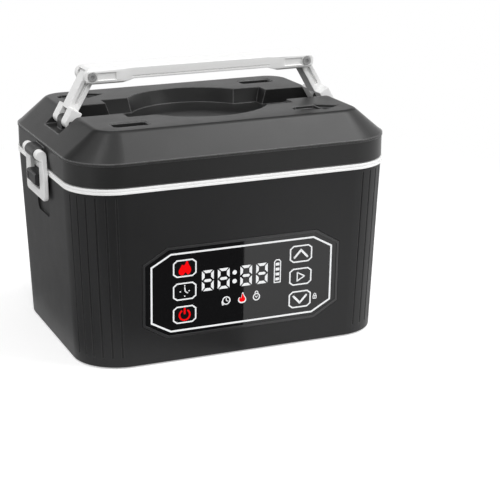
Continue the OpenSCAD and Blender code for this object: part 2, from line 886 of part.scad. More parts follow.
// Leg lying flat along +X from its lower axle at the origin
module leg_flat() {
    half = leg_t / 2;
    difference() {
        union() {
            along_y(half, -fork_w / 2, fork_w / 2);
            translate([0, -fork_w / 2, -half]) cube([fork_l, fork_w, leg_t]);
            translate([0, -shank_w / 2, -half]) cube([leg_len, shank_w, leg_t]);
            translate([leg_len, 0, 0]) along_y(half, -shank_w / 2, shank_w / 2);
        }
        translate([-leg_t, -knuckle_w / 2 - side_gap, -leg_t])
            cube([crotch_l + leg_t, knuckle_w + 2 * side_gap, 2 * leg_t]);
        along_y(pin_r + run_fit - 0.02, -fork_w, fork_w);
        translate([leg_len, 0, 0]) along_y(shoe_axle_r + run_fit, -fork_w, fork_w);
        for (s = [0, 1]) mirror([0, s, 0]) {
            translate([fork_l + 5, shank_w / 2 - groove_depth, -groove_w / 2])
                cube([leg_len - fork_l - 11.5, 5, groove_w]);
            translate([fork_l + 5, 0, 0])
                along_y(groove_w / 2, shank_w / 2 - groove_depth, shank_w);
        }
    }
}

module leg_right() {
    color("#f2f2f0") translate([axle_x, 0, axle_z]) rotate([0, leg_angle, 0])
        mirror([1, 0, 0]) leg_flat();
}

module leg_left() mirror([1, 0, 0]) leg_right();

module shoe_right() {
    color("#c7c9cb") translate([grip_x, 0, grip_z]) {
        along_y(shoe_axle_r, -ear_slot_y - 1, ear_slot_y + 1);
        for (s = [0, 1]) mirror([0, s, 0])
            translate([-shoe_l / 2, ear_slot_y + 0.2, -shoe_h / 2]) cube([shoe_l, shoe_w, shoe_h]);
    }
}

module shoe_left() mirror([1, 0, 0]) shoe_right();

module grip_side_outline() {
    translate([-grip_x, -grip_drop]) square([2 * grip_x, grip_h]);
    for (s = [-1, 1])
        translate([s * grip_x, grip_h / 2 - grip_drop]) circle(r = grip_h / 2, $fn = fine);
}

module grip() {
    color("#f2f2f0") translate([0, 0, grip_z]) difference() {
        intersection() {
            translate([0, grip_w / 2, 0]) rotate([90, 0, 0]) linear_extrude(height = grip_w)
                grip_side_outline();
            translate([-grip_x - 10, 0, grip_h / 2 - grip_drop]) rotate([90, 0, 90])
                linear_extrude(height = 2 * grip_x + 20)
                    rounded(grip_w, grip_h, 3, coarse);
        }
        translate([0, grip_w, 0]) rotate([90, 0, 0]) linear_extrude(height = 2 * grip_w)
            polygon([
                [-relief_x, -grip_drop - eps], [-relief_x + ramp_l, -grip_drop + grip_relief],
                [relief_x - ramp_l, -grip_drop + grip_relief], [relief_x, -grip_drop - eps],
                [relief_x, -grip_drop - 5], [-relief_x, -grip_drop - 5]
            ]);
        for (s = [0, 1]) mirror([0, s, 0]) {
            translate([0, 0, -grip_h]) linear_extrude(height = 2 * grip_h)
                polygon([
                    [-relief_x - 2, grip_w / 2 + eps], [-relief_x + 8, grip_w / 2 - side_step],
                    [relief_x - 8, grip_w / 2 - side_step], [relief_x + 2, grip_w / 2 + eps],
                    [relief_x + 2, grip_w / 2 + 5], [-relief_x - 2, grip_w / 2 + 5]
                ]);
            translate([-relief_x + 8, grip_w / 2 - side_step - 0.35, -1.4])
                cube([2 * relief_x - 16, 5, 0.5]);
        }
        plate_pocket(0.2, 1.8);
        cube([2 * (plate_x - 8), 15, 5], center = true);
        both_ends() {
            translate([ear_slot_x, -ear_slot_y, -grip_h]) cube([40, 2 * ear_slot_y,
                grip_h + grip_h - grip_drop - roof_t]);
            translate([grip_x - shoe_travel - shoe_l / 2 - 0.2, -track_y, -shoe_h / 2 - 0.15])
                cube([shoe_travel + shoe_l + 0.4, 2 * track_y, shoe_h + 0.3]);
            for (s = [0, 1]) mirror([0, s, 0]) {
                translate([grip_x, 0, 0]) {
                    along_y(cap_r + 0.05, grip_w / 2 - cap_inset, grip_w / 2 + 5);
                    along_y(cap_r + 0.7, grip_w / 2 - 0.35, grip_w / 2 + 5);
                }
                translate([grip_x - 18.3, grip_w / 2 - cap_inset, -2.5]) cube([14.2, 5, 5.2]);
            }
        }
        at_grip_screws() translate([0, 0, -grip_drop])
            cylinder(r = 1, h = grip_relief + 5, $fn = coarse);
    }
}

module plate_pocket(gap, t) {
    z = -grip_drop + grip_relief;
    translate([0, 0, z - eps]) linear_extrude(height = t)
        rounded(2 * plate_x + 2 * gap, 20 + 2 * gap, 3 + gap, coarse);
}

module at_grip_screws() {
    for (s = [-1, 1]) translate([s * (plate_x - 4), 0, 0]) children();
}

module grip_plate() {
    color("#d9dadb") translate([0, 0, grip_z]) difference() {
        plate_pocket(0, 1.7);
        at_grip_screws() {
            translate([0, 0, -grip_drop]) cylinder(r = 1.3, h = grip_relief + 5, $fn = coarse);
            translate([0, 0, -grip_drop + grip_relief - 1])
                cylinder(r = 2.4, h = 1 + grip_head_h, $fn = coarse);
        }
    }
}

module grip_screws() {
    z = -grip_drop + grip_relief;
    color("#b9bcc0") translate([0, 0, grip_z]) at_grip_screws() {
        translate([0, 0, z + 0.1]) cylinder(r = 2.2, h = grip_head_h - 0.1, $fn = coarse);
        translate([0, 0, z + grip_head_h]) cylinder(r = 0.98, h = 4, $fn = coarse);
    }
}

module grip_caps() {
    color("#e2e2e0") both_ends() for (s = [0, 1]) mirror([0, s, 0])
        translate([grip_x, 0, grip_z]) difference() {
            along_y(cap_r, grip_w / 2 - cap_inset, grip_w / 2 - cap_inset + cap_t);
            along_y(1.6, grip_w / 2 - cap_inset + 0.3, grip_w);
        }
}

// ---- Food container ----

module tub_solid(inset) {
    w = tub_w - 2 * tub_lip - 2 * inset;
    d = tub_d - 2 * tub_lip - 2 * inset;
    r = tub_r - tub_lip - inset;
    step_z = tub_top - tub_step_h;
    slab(w, d, r, step_z + inset, tub_top + inset);
    hull() {
        posts(w - 4, d - 4, r - 2, step_z - 1, step_z + inset + eps);
        posts(w - 4 - 2 * tub_lean, d - 4 - 2 * tub_lean, r - 2, tub_z + 5 + inset,
            tub_z + 6 + inset);
        posts(w - 14 - 2 * tub_lean, d - 14 - 2 * tub_lean, r - 7, tub_z + inset,
            tub_z + 1 + inset);
    }
}

module food_container() {
    color("#c4c7ca") difference() {
        union() {
            tub_solid(0);
            slab(tub_w, tub_d, tub_r, tub_top - tub_lip_h, tub_top);
        }
        tub_solid(tub_t);
    }
}

lid_over = 1.2;

module container_lid() {
    w = tub_w + 2 * lid_over;
    d = tub_d + 2 * lid_over;
    r = tub_r + lid_over;
    color([0.55, 0.56, 0.58, 0.6]) difference() {
        union() {
            slab(w, d, r, tub_top + 0.2, tub_top + cap_h);
            ring(w, d, r, lid_over - 0.3, tub_top - 3, tub_top + 1);
            translate([0, 0, tub_top - 2]) cylinder(r = vent_r + 2.5, h = 3, $fn = fine);
        }
        slab(w - 22, d - 22, r - 9, tub_top + 2, tub_top + cap_h + 1);
        translate([0, 0, tub_top - 3]) cylinder(r = vent_r, h = 20, $fn = fine);
    }
}

module container_seal() {
    w = tub_w - 2 * tub_lip - 2 * tub_t - 1;
    d = tub_d - 2 * tub_lip - 2 * tub_t - 1;
    color("#d87b2a") ring(w, d, tub_r - tub_lip - tub_t - 0.5, seal_w, tub_top + 0.2 - seal_h,
        tub_top + 0.2);
}

module dial_scale() {
    color("#d7d8da") translate([0, 0, tub_top + 2]) difference() {
        cylinder(r = dial_r + 5, h = 0.6, $fn = fine);
        translate([0, 0, -1]) cylinder(r = vent_r + 1, h = 3, $fn = fine);
    }
}

module vent_dial() {
    z = tub_top + 2.9;
    color("#f19a35") translate([0, 0, z]) difference() {
        cylinder(r = dial_r, h = 4, $fn = fine);
        translate([0, 0, 1.6]) difference() {
            cylinder(r = dial_r - 2.2, h = 5, $fn = fine);
            translate([-dial_r, -1.8, 0]) cube([2 * dial_r, 3.6, 6]);
        }
        translate([0, 0, -1]) cylinder(r = 2, h = 2.4, $fn = coarse);
    }
}

module vent_stem() {
    z = tub_top + 2.9;
    color("#4a4542") {
        translate([0, 0, z - eps]) cylinder(r = 1.98, h = 1.4, $fn = coarse);
        translate([0, 0, tub_top - 3]) cylinder(r = vent_r - run_fit, h = z - tub_top + 3,
            $fn = fine);
        translate([0, 0, tub_top - 4.3]) cylinder(r = vent_r + 1.6, h = 2, $fn = fine);
    }
}

body_shell();
bottom_cover();
rubber_feet();
bottom_screws();
trim_band();
inner_liner();
liner_insulation();
heating_plate();
heating_element();
thermal_cutoff();
battery_cells();
battery_holder();
main_board();
board_parts();
charging_inlet();
panel_window();
panel_bezel();
led_display();
display_board();
display_ribbon();
heater_leads();
latch_catch_left();
latch_catch_right();
lid_shell();
lid_liner();
lid_insulation();
lid_gasket();
lid_screws();
leg_pins();
latch_pins();
latch_left();
latch_right();
leg_left();
leg_right();
shoe_left();
shoe_right();
grip();
grip_plate();
grip_screws();
grip_caps();
food_container();
container_lid();
container_seal();
dial_scale();
vent_dial();
vent_stem();
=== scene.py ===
import json
import math
import bpy
import bmesh
from mathutils import Matrix, Vector
from mathutils.bvhtree import BVHTree


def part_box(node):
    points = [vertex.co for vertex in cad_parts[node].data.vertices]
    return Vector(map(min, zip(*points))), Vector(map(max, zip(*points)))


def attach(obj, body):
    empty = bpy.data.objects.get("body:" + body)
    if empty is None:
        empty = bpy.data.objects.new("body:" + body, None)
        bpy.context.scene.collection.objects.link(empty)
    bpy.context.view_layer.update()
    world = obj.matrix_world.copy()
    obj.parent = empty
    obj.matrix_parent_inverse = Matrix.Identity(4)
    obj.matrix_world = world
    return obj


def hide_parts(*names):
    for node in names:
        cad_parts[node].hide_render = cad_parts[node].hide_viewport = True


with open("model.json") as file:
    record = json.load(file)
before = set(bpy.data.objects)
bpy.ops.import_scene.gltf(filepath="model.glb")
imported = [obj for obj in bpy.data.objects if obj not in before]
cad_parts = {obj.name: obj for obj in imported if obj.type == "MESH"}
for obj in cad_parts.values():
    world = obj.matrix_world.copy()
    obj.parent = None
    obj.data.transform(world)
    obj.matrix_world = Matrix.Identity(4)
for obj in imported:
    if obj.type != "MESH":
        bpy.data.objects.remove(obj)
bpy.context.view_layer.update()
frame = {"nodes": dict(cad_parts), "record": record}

mm = 0.001

# camera, lights and room

cameraSettings = {
    "azimuth": -21.449,      # degrees, 0 looks along +Y
    "elevation": 17.217,
    "roll": -0.405,
    "distance": 1.1798,
    "target": (0.00511, 0.0, 0.05771),
    "lens": 107.26,
    "shift": (0.0926, -0.0101),
}

lampSettings = {      # metres and watts
    "key": {"place": (-0.55, -1.15, 1.25), "aim": (0, 0, 0.12), "size": (0.9, 0.7), "power": 9.5},
    "fill": {"place": (1.3, -0.9, 0.7), "aim": (0, 0, 0.1), "size": (0.9, 0.9), "power": 8.0},
    "rim": {"place": (-1.3, 0.5, 0.75), "aim": (0, 0, 0.12), "size": (0.5, 0.9), "power": 4.0},
    "top": {"place": (0.75, -0.35, 1.45), "aim": (0, 0, 0.17), "size": (0.8, 0.7), "power": 12.0},
    "crest": {"place": (-0.62, -0.2, 1.2), "aim": (-0.1, -0.08, 0.15), "size": (0.16, 0.3),
              "power": 1.8},
}
worldLight = 0.4      # strength of the even light from all round


def makeCamera(settings):
    az = math.radians(settings["azimuth"])
    el = math.radians(settings["elevation"])
    back = Vector((math.sin(az) * math.cos(el), -math.cos(az) * math.cos(el), math.sin(el)))
    place = Vector(settings["target"]) + back * settings["distance"]
    right = (-back).cross(Vector((0, 0, 1))).normalized()
    up = right.cross(-back)
    roll = math.radians(settings["roll"])
    rolledRight = right * math.cos(roll) + up * math.sin(roll)
    rolledUp = up * math.cos(roll) - right * math.sin(roll)
    turn = Matrix((rolledRight, rolledUp, back)).transposed().to_4x4()
    data = bpy.data.cameras.new("photoCamera")
    data.lens = settings["lens"]
    data.sensor_width = 36
    data.shift_x, data.shift_y = settings["shift"]
    camera = bpy.data.objects.new("photoCamera", data)
    camera.matrix_world = Matrix.Translation(place) @ turn
    bpy.context.scene.collection.objects.link(camera)
    bpy.context.scene.camera = camera


def addLamp(name, settings):
    data = bpy.data.lights.new(name, "AREA")
    data.shape = "RECTANGLE"
    data.size, data.size_y = settings["size"]
    data.energy = settings["power"]
    lamp = bpy.data.objects.new(name, data)
    place = Vector(settings["place"])
    lamp.location = place
    lamp.rotation_euler = (Vector(settings["aim"]) - place).to_track_quat("-Z", "Y").to_euler()
    bpy.context.scene.collection.objects.link(lamp)


def mathNode(tree, operation, first, second, clamp=False):
    node = tree.nodes.new("ShaderNodeMath")
    node.operation = operation
    node.use_clamp = clamp
    for index, value in enumerate((first, second)):
        if isinstance(value, (int, float)):
            node.inputs[index].default_value = value
        else:
            tree.links.new(value, node.inputs[index])
    return node.outputs[0]


def seenDirectly(tree):
    # rays that see the white paper itself: the camera's, and those that metal and glass send on
    path = tree.nodes.new("ShaderNodeLightPath")
    either = mathNode(tree, "MAXIMUM", path.outputs["Is Camera Ray"], path.outputs["Is Glossy Ray"])
    return mathNode(tree, "MAXIMUM", either, path.outputs["Is Transmission Ray"])


def makeWorld(strength):
    world = bpy.data.worlds.new("studioWorld")
    world.use_nodes = True
    tree = world.node_tree
    tree.nodes.clear()
    out = tree.nodes.new("ShaderNodeOutputWorld")
    lit = tree.nodes.new("ShaderNodeBackground")
    lit.inputs["Color"].default_value = (1, 1, 1, 1)
    lit.inputs["Strength"].default_value = strength
    seen = tree.nodes.new("ShaderNodeBackground")
    seen.inputs["Color"].default_value = (1, 1, 1, 1)
    seen.inputs["Strength"].default_value = 1.0
    mix = tree.nodes.new("ShaderNodeMixShader")
    tree.links.new(seenDirectly(tree), mix.inputs["Fac"])
    tree.links.new(lit.outputs[0], mix.inputs[1])
    tree.links.new(seen.outputs[0], mix.inputs[2])
    tree.links.new(mix.outputs[0], out.inputs["Surface"])
    bpy.context.scene.world = world


floorSettings = {
    "half": 6.0,             # metres
    "paper": 0.8, "glow": 0.42,
    "near": 0.28, "far": 0.62,   # the paper turns plain white between these distances
}


def makeFloor(settings):
    bm = bmesh.new()
    bmesh.ops.create_grid(bm, x_segments=1, y_segments=1, size=settings["half"])
    mesh = bpy.data.meshes.new("floor")
    bm.to_mesh(mesh)
    bm.free()
    floor = bpy.data.objects.new("floor", mesh)
    bpy.context.scene.collection.objects.link(floor)
    material = bpy.data.materials.new("floorPaper")
    material.use_nodes = True
    tree = material.node_tree
    tree.nodes.clear()
    out = tree.nodes.new("ShaderNodeOutputMaterial")
    paper = tree.nodes.new("ShaderNodeBsdfDiffuse")
    paper.inputs["Color"].default_value = (settings["paper"],) * 3 + (1,)
    glow = tree.nodes.new("ShaderNodeEmission")
    seen = seenDirectly(tree)
    tree.links.new(mathNode(tree, "MULTIPLY", seen, settings["glow"]), glow.inputs["Strength"])
    add = tree.nodes.new("ShaderNodeAddShader")
    tree.links.new(paper.outputs[0], add.inputs[0])
    tree.links.new(glow.outputs[0], add.inputs[1])
    white = tree.nodes.new("ShaderNodeEmission")
    tree.links.new(seen, white.inputs["Strength"])
    place = tree.nodes.new("ShaderNodeTexCoord")
    away = tree.nodes.new("ShaderNodeVectorMath")
    away.operation = "LENGTH"
    tree.links.new(place.outputs["Object"], away.inputs[0])
    fade = tree.nodes.new("ShaderNodeMapRange")
    fade.interpolation_type = "SMOOTHSTEP"
    fade.inputs["From Min"].default_value = settings["near"]
    fade.inputs["From Max"].default_value = settings["far"]
    tree.links.new(away.outputs["Value"], fade.inputs["Value"])
    mix = tree.nodes.new("ShaderNodeMixShader")
    tree.links.new(fade.outputs["Result"], mix.inputs["Fac"])
    tree.links.new(add.outputs[0], mix.inputs[1])
    tree.links.new(white.outputs[0], mix.inputs[2])
    tree.links.new(mix.outputs[0], out.inputs["Surface"])
    mesh.materials.append(material)


# dark cards, seen only in reflections: one keeps half of the window black, the others tone down
# the end wall and draw the dark line along the lid's soft edge
cardSettings = {
    "windowCard": {"corner": (0.0029, -0.0925, 0.0006), "heading": (0.371, -0.863),
                   "across": (0.0, 0.60), "along": (0.0, 0.75), "tilt": 0, "tone": 0.01},
    "endCard": {"corner": (-0.135, -0.12, 0.0006), "heading": (0.0, 1.0),
                "across": (-0.5, 0.0), "along": (0.0, 1.0), "tilt": 0, "tone": 0.45},
    "backCard": {"corner": (0.35, 1.4, 0.66), "heading": (0.0, 1.0),
                 "across": (-1.8, 1.8), "along": (0.0, 1.7), "tilt": 90, "tone": 0.01},
}


def makeCard(name, settings):
    # a flat card that starts at its corner and runs along its heading; tilt stands it up
    bm = bmesh.new()
    bmesh.ops.create_grid(bm, x_segments=1, y_segments=1, size=0.5)
    (x0, x1), (y0, y1) = settings["across"], settings["along"]
    bmesh.ops.scale(bm, vec=(x1 - x0, y1 - y0, 1), verts=bm.verts)
    bmesh.ops.translate(bm, vec=((x0 + x1) / 2, (y0 + y1) / 2, 0), verts=bm.verts)
    bmesh.ops.rotate(bm, matrix=Matrix.Rotation(math.radians(settings["tilt"]), 3, "X"),
                     verts=bm.verts)
    headingX, headingY = settings["heading"]
    turn = math.atan2(headingY, headingX) - math.radians(90)
    bmesh.ops.rotate(bm, matrix=Matrix.Rotation(turn, 3, "Z"), verts=bm.verts)
    bmesh.ops.translate(bm, vec=settings["corner"], verts=bm.verts)
    mesh = bpy.data.meshes.new(name)
    bm.to_mesh(mesh)
    bm.free()
    card = bpy.data.objects.new(name, mesh)
    bpy.context.scene.collection.objects.link(card)
    card.visible_camera = False
    card.visible_diffuse = False
    card.visible_shadow = False
    material = bpy.data.materials.new(name + "Cloth")
    material.use_nodes = True
    cloth = material.node_tree.nodes["Principled BSDF"]
    cloth.inputs["Base Color"].default_value = (settings["tone"],) * 3 + (1,)
    cloth.inputs["Roughness"].default_value = 1.0
    mesh.materials.append(material)


makeCamera(cameraSettings)
for lampName, settings in lampSettings.items():
    addLamp(lampName, settings)
makeWorld(worldLight)
makeFloor(floorSettings)
for cardName, settings in cardSettings.items():
    makeCard(cardName, settings)
bpy.context.scene.view_settings.view_transform = "Standard"
print("camera, lights and floor are placed")

# shared effects as node groups

surfaceOutputs = [("Color", "NodeSocketColor"), ("Roughness", "NodeSocketFloat"),
                  ("Height", "NodeSocketFloat")]


def newGroup(name, inputs, outputs):
    tree = bpy.data.node_groups.new(name, "ShaderNodeTree")
    for label, kind, value in inputs:
        socket = tree.interface.new_socket(label, in_out="INPUT", socket_type=kind)
        socket.default_value = value
    for label, kind in outputs:
        tree.interface.new_socket(label, in_out="OUTPUT", socket_type=kind)
    return tree, tree.nodes.new("NodeGroupInput"), tree.nodes.new("NodeGroupOutput")


def noiseNode(tree, vector, scale, detail, rough=0.5):
    node = tree.nodes.new("ShaderNodeTexNoise")
    node.inputs["Detail"].default_value = detail
    node.inputs["Roughness"].default_value = rough
    tree.links.new(vector, node.inputs["Vector"])
    if isinstance(scale, (int, float)):
        node.inputs["Scale"].default_value = scale
    else:
        tree.links.new(scale, node.inputs["Scale"])
    return node.outputs["Fac"]


def mixColour(tree, factor, first, second):
    node = tree.nodes.new("ShaderNodeMix")
    node.data_type = "RGBA"
    tree.links.new(factor, node.inputs["Factor"])
    for value, socket in ((first, node.inputs[6]), (second, node.inputs[7])):
        if isinstance(value, tuple):
            socket.default_value = value
        else:
            tree.links.new(value, socket)
    return node.outputs[2]


def buildMouldedSkin():
    # moulded plastic or rubber: fine grain, cloudy tone, smeared gloss and a lighter colour on
    # rounded edges that is partly wear and partly a painted highlight
    tree, into, out = newGroup("mouldedSkin", [
        ("Base", "NodeSocketColor", (0.5, 0.5, 0.5, 1)),
        ("Worn And Highlight", "NodeSocketColor", (0.6, 0.6, 0.6, 1)),
        ("Tone", "NodeSocketFloat", 0.1),
        ("Rough", "NodeSocketFloat", 0.45),
        ("Rough Spread", "NodeSocketFloat", 0.1),
        ("Grain Scale", "NodeSocketFloat", 1800.0),
        ("Wear And Highlight", "NodeSocketFloat", 0.4),
    ], surfaceOutputs)
    place = tree.nodes.new("ShaderNodeTexCoord").outputs["Object"]
    cloud = noiseNode(tree, place, scale=22.0, detail=4.0)
    speck = noiseNode(tree, place, scale=420.0, detail=3.0)
    grain = noiseNode(tree, place, scale=into.outputs["Grain Scale"], detail=2.0, rough=0.6)
    smear = noiseNode(tree, place, scale=60.0, detail=5.0, rough=0.65)
    edge = tree.nodes.new("ShaderNodeAttribute")
    edge.attribute_name = "edge"
    # edge mask: specks on the rounded edges, giving wear and, where it is strong, a painted
    # highlight
    chipsAndHighlight = mathNode(tree, "MULTIPLY", speck, 1.4)
    chipsAndHighlight = mathNode(tree, "MULTIPLY", edge.outputs["Fac"], chipsAndHighlight, True)
    wornAndHighlight = mathNode(tree, "MULTIPLY", chipsAndHighlight, into.outputs["Wear And Highlight"], True)
    toneShift = mathNode(tree, "MULTIPLY", mathNode(tree, "SUBTRACT", cloud, 0.5),
                         into.outputs["Tone"])
    speckShift = mathNode(tree, "MULTIPLY", mathNode(tree, "SUBTRACT", speck, 0.5),
                          mathNode(tree, "MULTIPLY", into.outputs["Tone"], 0.8))
    factor = mathNode(tree, "ADD", 1.0, mathNode(tree, "ADD", toneShift, speckShift))
    scaled = tree.nodes.new("ShaderNodeVectorMath")
    scaled.operation = "SCALE"
    tree.links.new(into.outputs["Base"], scaled.inputs[0])
    tree.links.new(factor, scaled.inputs["Scale"])
    colour = mixColour(tree, wornAndHighlight, scaled.outputs[0], into.outputs["Worn And Highlight"])
    tree.links.new(colour, out.inputs["Color"])
    spread = mathNode(tree, "MULTIPLY", mathNode(tree, "SUBTRACT", smear, 0.5),
                      into.outputs["Rough Spread"])
    rough = mathNode(tree, "ADD", into.outputs["Rough"], spread)
    rough = mathNode(tree, "SUBTRACT", rough, mathNode(tree, "MULTIPLY", wornAndHighlight, 0.12), True)
    tree.links.new(rough, out.inputs["Roughness"])
    tree.links.new(mathNode(tree, "ADD", grain, mathNode(tree, "MULTIPLY", smear, 0.25)),
                   out.inputs["Height"])
    return tree


def buildBrushedSheet():
    # rolled or drawn metal: long fine strokes and a cloudy tone
    tree, into, out = newGroup("brushedSheet", [
        ("Base", "NodeSocketColor", (0.6, 0.6, 0.6, 1)),
        ("Rough", "NodeSocketFloat", 0.3),
        ("Rough Spread", "NodeSocketFloat", 0.2),
        ("Stroke", "NodeSocketVector", (30.0, 30.0, 2600.0)),
    ], surfaceOutputs)
    place = tree.nodes.new("ShaderNodeTexCoord").outputs["Object"]
    stretch = tree.nodes.new("ShaderNodeVectorMath")
    stretch.operation = "MULTIPLY"
    tree.links.new(place, stretch.inputs[0])
    tree.links.new(into.outputs["Stroke"], stretch.inputs[1])
    strokes = noiseNode(tree, stretch.outputs[0], scale=1.0, detail=4.0, rough=0.6)
    cloud = noiseNode(tree, place, scale=14.0, detail=4.0)
    factor = mathNode(tree, "ADD", 0.86, mathNode(tree, "MULTIPLY", strokes, 0.2))
    factor = mathNode(tree, "ADD", factor, mathNode(tree, "MULTIPLY", cloud, 0.08))
    scaled = tree.nodes.new("ShaderNodeVectorMath")
    scaled.operation = "SCALE"
    tree.links.new(into.outputs["Base"], scaled.inputs[0])
    tree.links.new(factor, scaled.inputs["Scale"])
    tree.links.new(scaled.outputs[0], out.inputs["Color"])
    spread = mathNode(tree, "MULTIPLY", mathNode(tree, "SUBTRACT", strokes, 0.5),
                      into.outputs["Rough Spread"])
    tree.links.new(mathNode(tree, "ADD", into.outputs["Rough"], spread, True),
                   out.inputs["Roughness"])
    tree.links.new(strokes, out.inputs["Height"])
    return tree


skinGroup = buildMouldedSkin()
sheetGroup = buildBrushedSheet()


def newMaterial(name):
    material = bpy.data.materials.new(name)
    material.use_nodes = True
    tree = material.node_tree
    return material, tree, tree.nodes["Principled BSDF"]


def addBump(tree, shader, height, depth, strength):
    bump = tree.nodes.new("ShaderNodeBump")
    bump.inputs["Distance"].default_value = depth
    bump.inputs["Strength"].default_value = strength
    tree.links.new(height, bump.inputs["Height"])
    tree.links.new(bump.outputs["Normal"], shader.inputs["Normal"])


def mouldedMaterial(name, settings):
    material, tree, shader = newMaterial(name)
    skin = tree.nodes.new("ShaderNodeGroup")
    skin.node_tree = skinGroup
    skin.inputs["Base"].default_value = (*settings["colour"], 1)
    skin.inputs["Worn And Highlight"].default_value = (*settings["wornAndHighlight"], 1)
    skin.inputs["Tone"].default_value = settings.get("tone", 0.12)
    skin.inputs["Rough"].default_value = settings["rough"]
    skin.inputs["Rough Spread"].default_value = settings.get("spread", 0.1)
    skin.inputs["Grain Scale"].default_value = settings.get("grain", 1800.0)
    skin.inputs["Wear And Highlight"].default_value = settings.get("wearAndHighlight", 0.4)
    tree.links.new(skin.outputs["Color"], shader.inputs["Base Color"])
    tree.links.new(skin.outputs["Roughness"], shader.inputs["Roughness"])
    addBump(tree, shader, skin.outputs["Height"], settings.get("depth", 0.08 * mm),
            settings.get("bump", 0.3))
    shader.inputs["Specular IOR Level"].default_value = settings.get("gloss", 0.5)
    # glow is painted light: the surface gives off light in its own colour, though it is no lamp
    if "glow" in settings:
        tree.links.new(skin.outputs["Color"], shader.inputs["Emission Color"])
        shader.inputs["Emission Strength"].default_value = settings["glow"]
    if "alpha" in settings:
        shader.inputs["Alpha"].default_value = settings["alpha"]
    return material


def metalMaterial(name, settings):
    material, tree, shader = newMaterial(name)
    sheet = tree.nodes.new("ShaderNodeGroup")
    sheet.node_tree = sheetGroup
    sheet.inputs["Base"].default_value = (*settings["colour"], 1)
    sheet.inputs["Rough"].default_value = settings["rough"]
    if "stroke" in settings:
        sheet.inputs["Stroke"].default_value = settings["stroke"]
    tree.links.new(sheet.outputs["Color"], shader.inputs["Base Color"])
    tree.links.new(sheet.outputs["Roughness"], shader.inputs["Roughness"])
    shader.inputs["Metallic"].default_value = 1.0
    addBump(tree, shader, sheet.outputs["Height"], 0.04 * mm, 0.25)
    return material


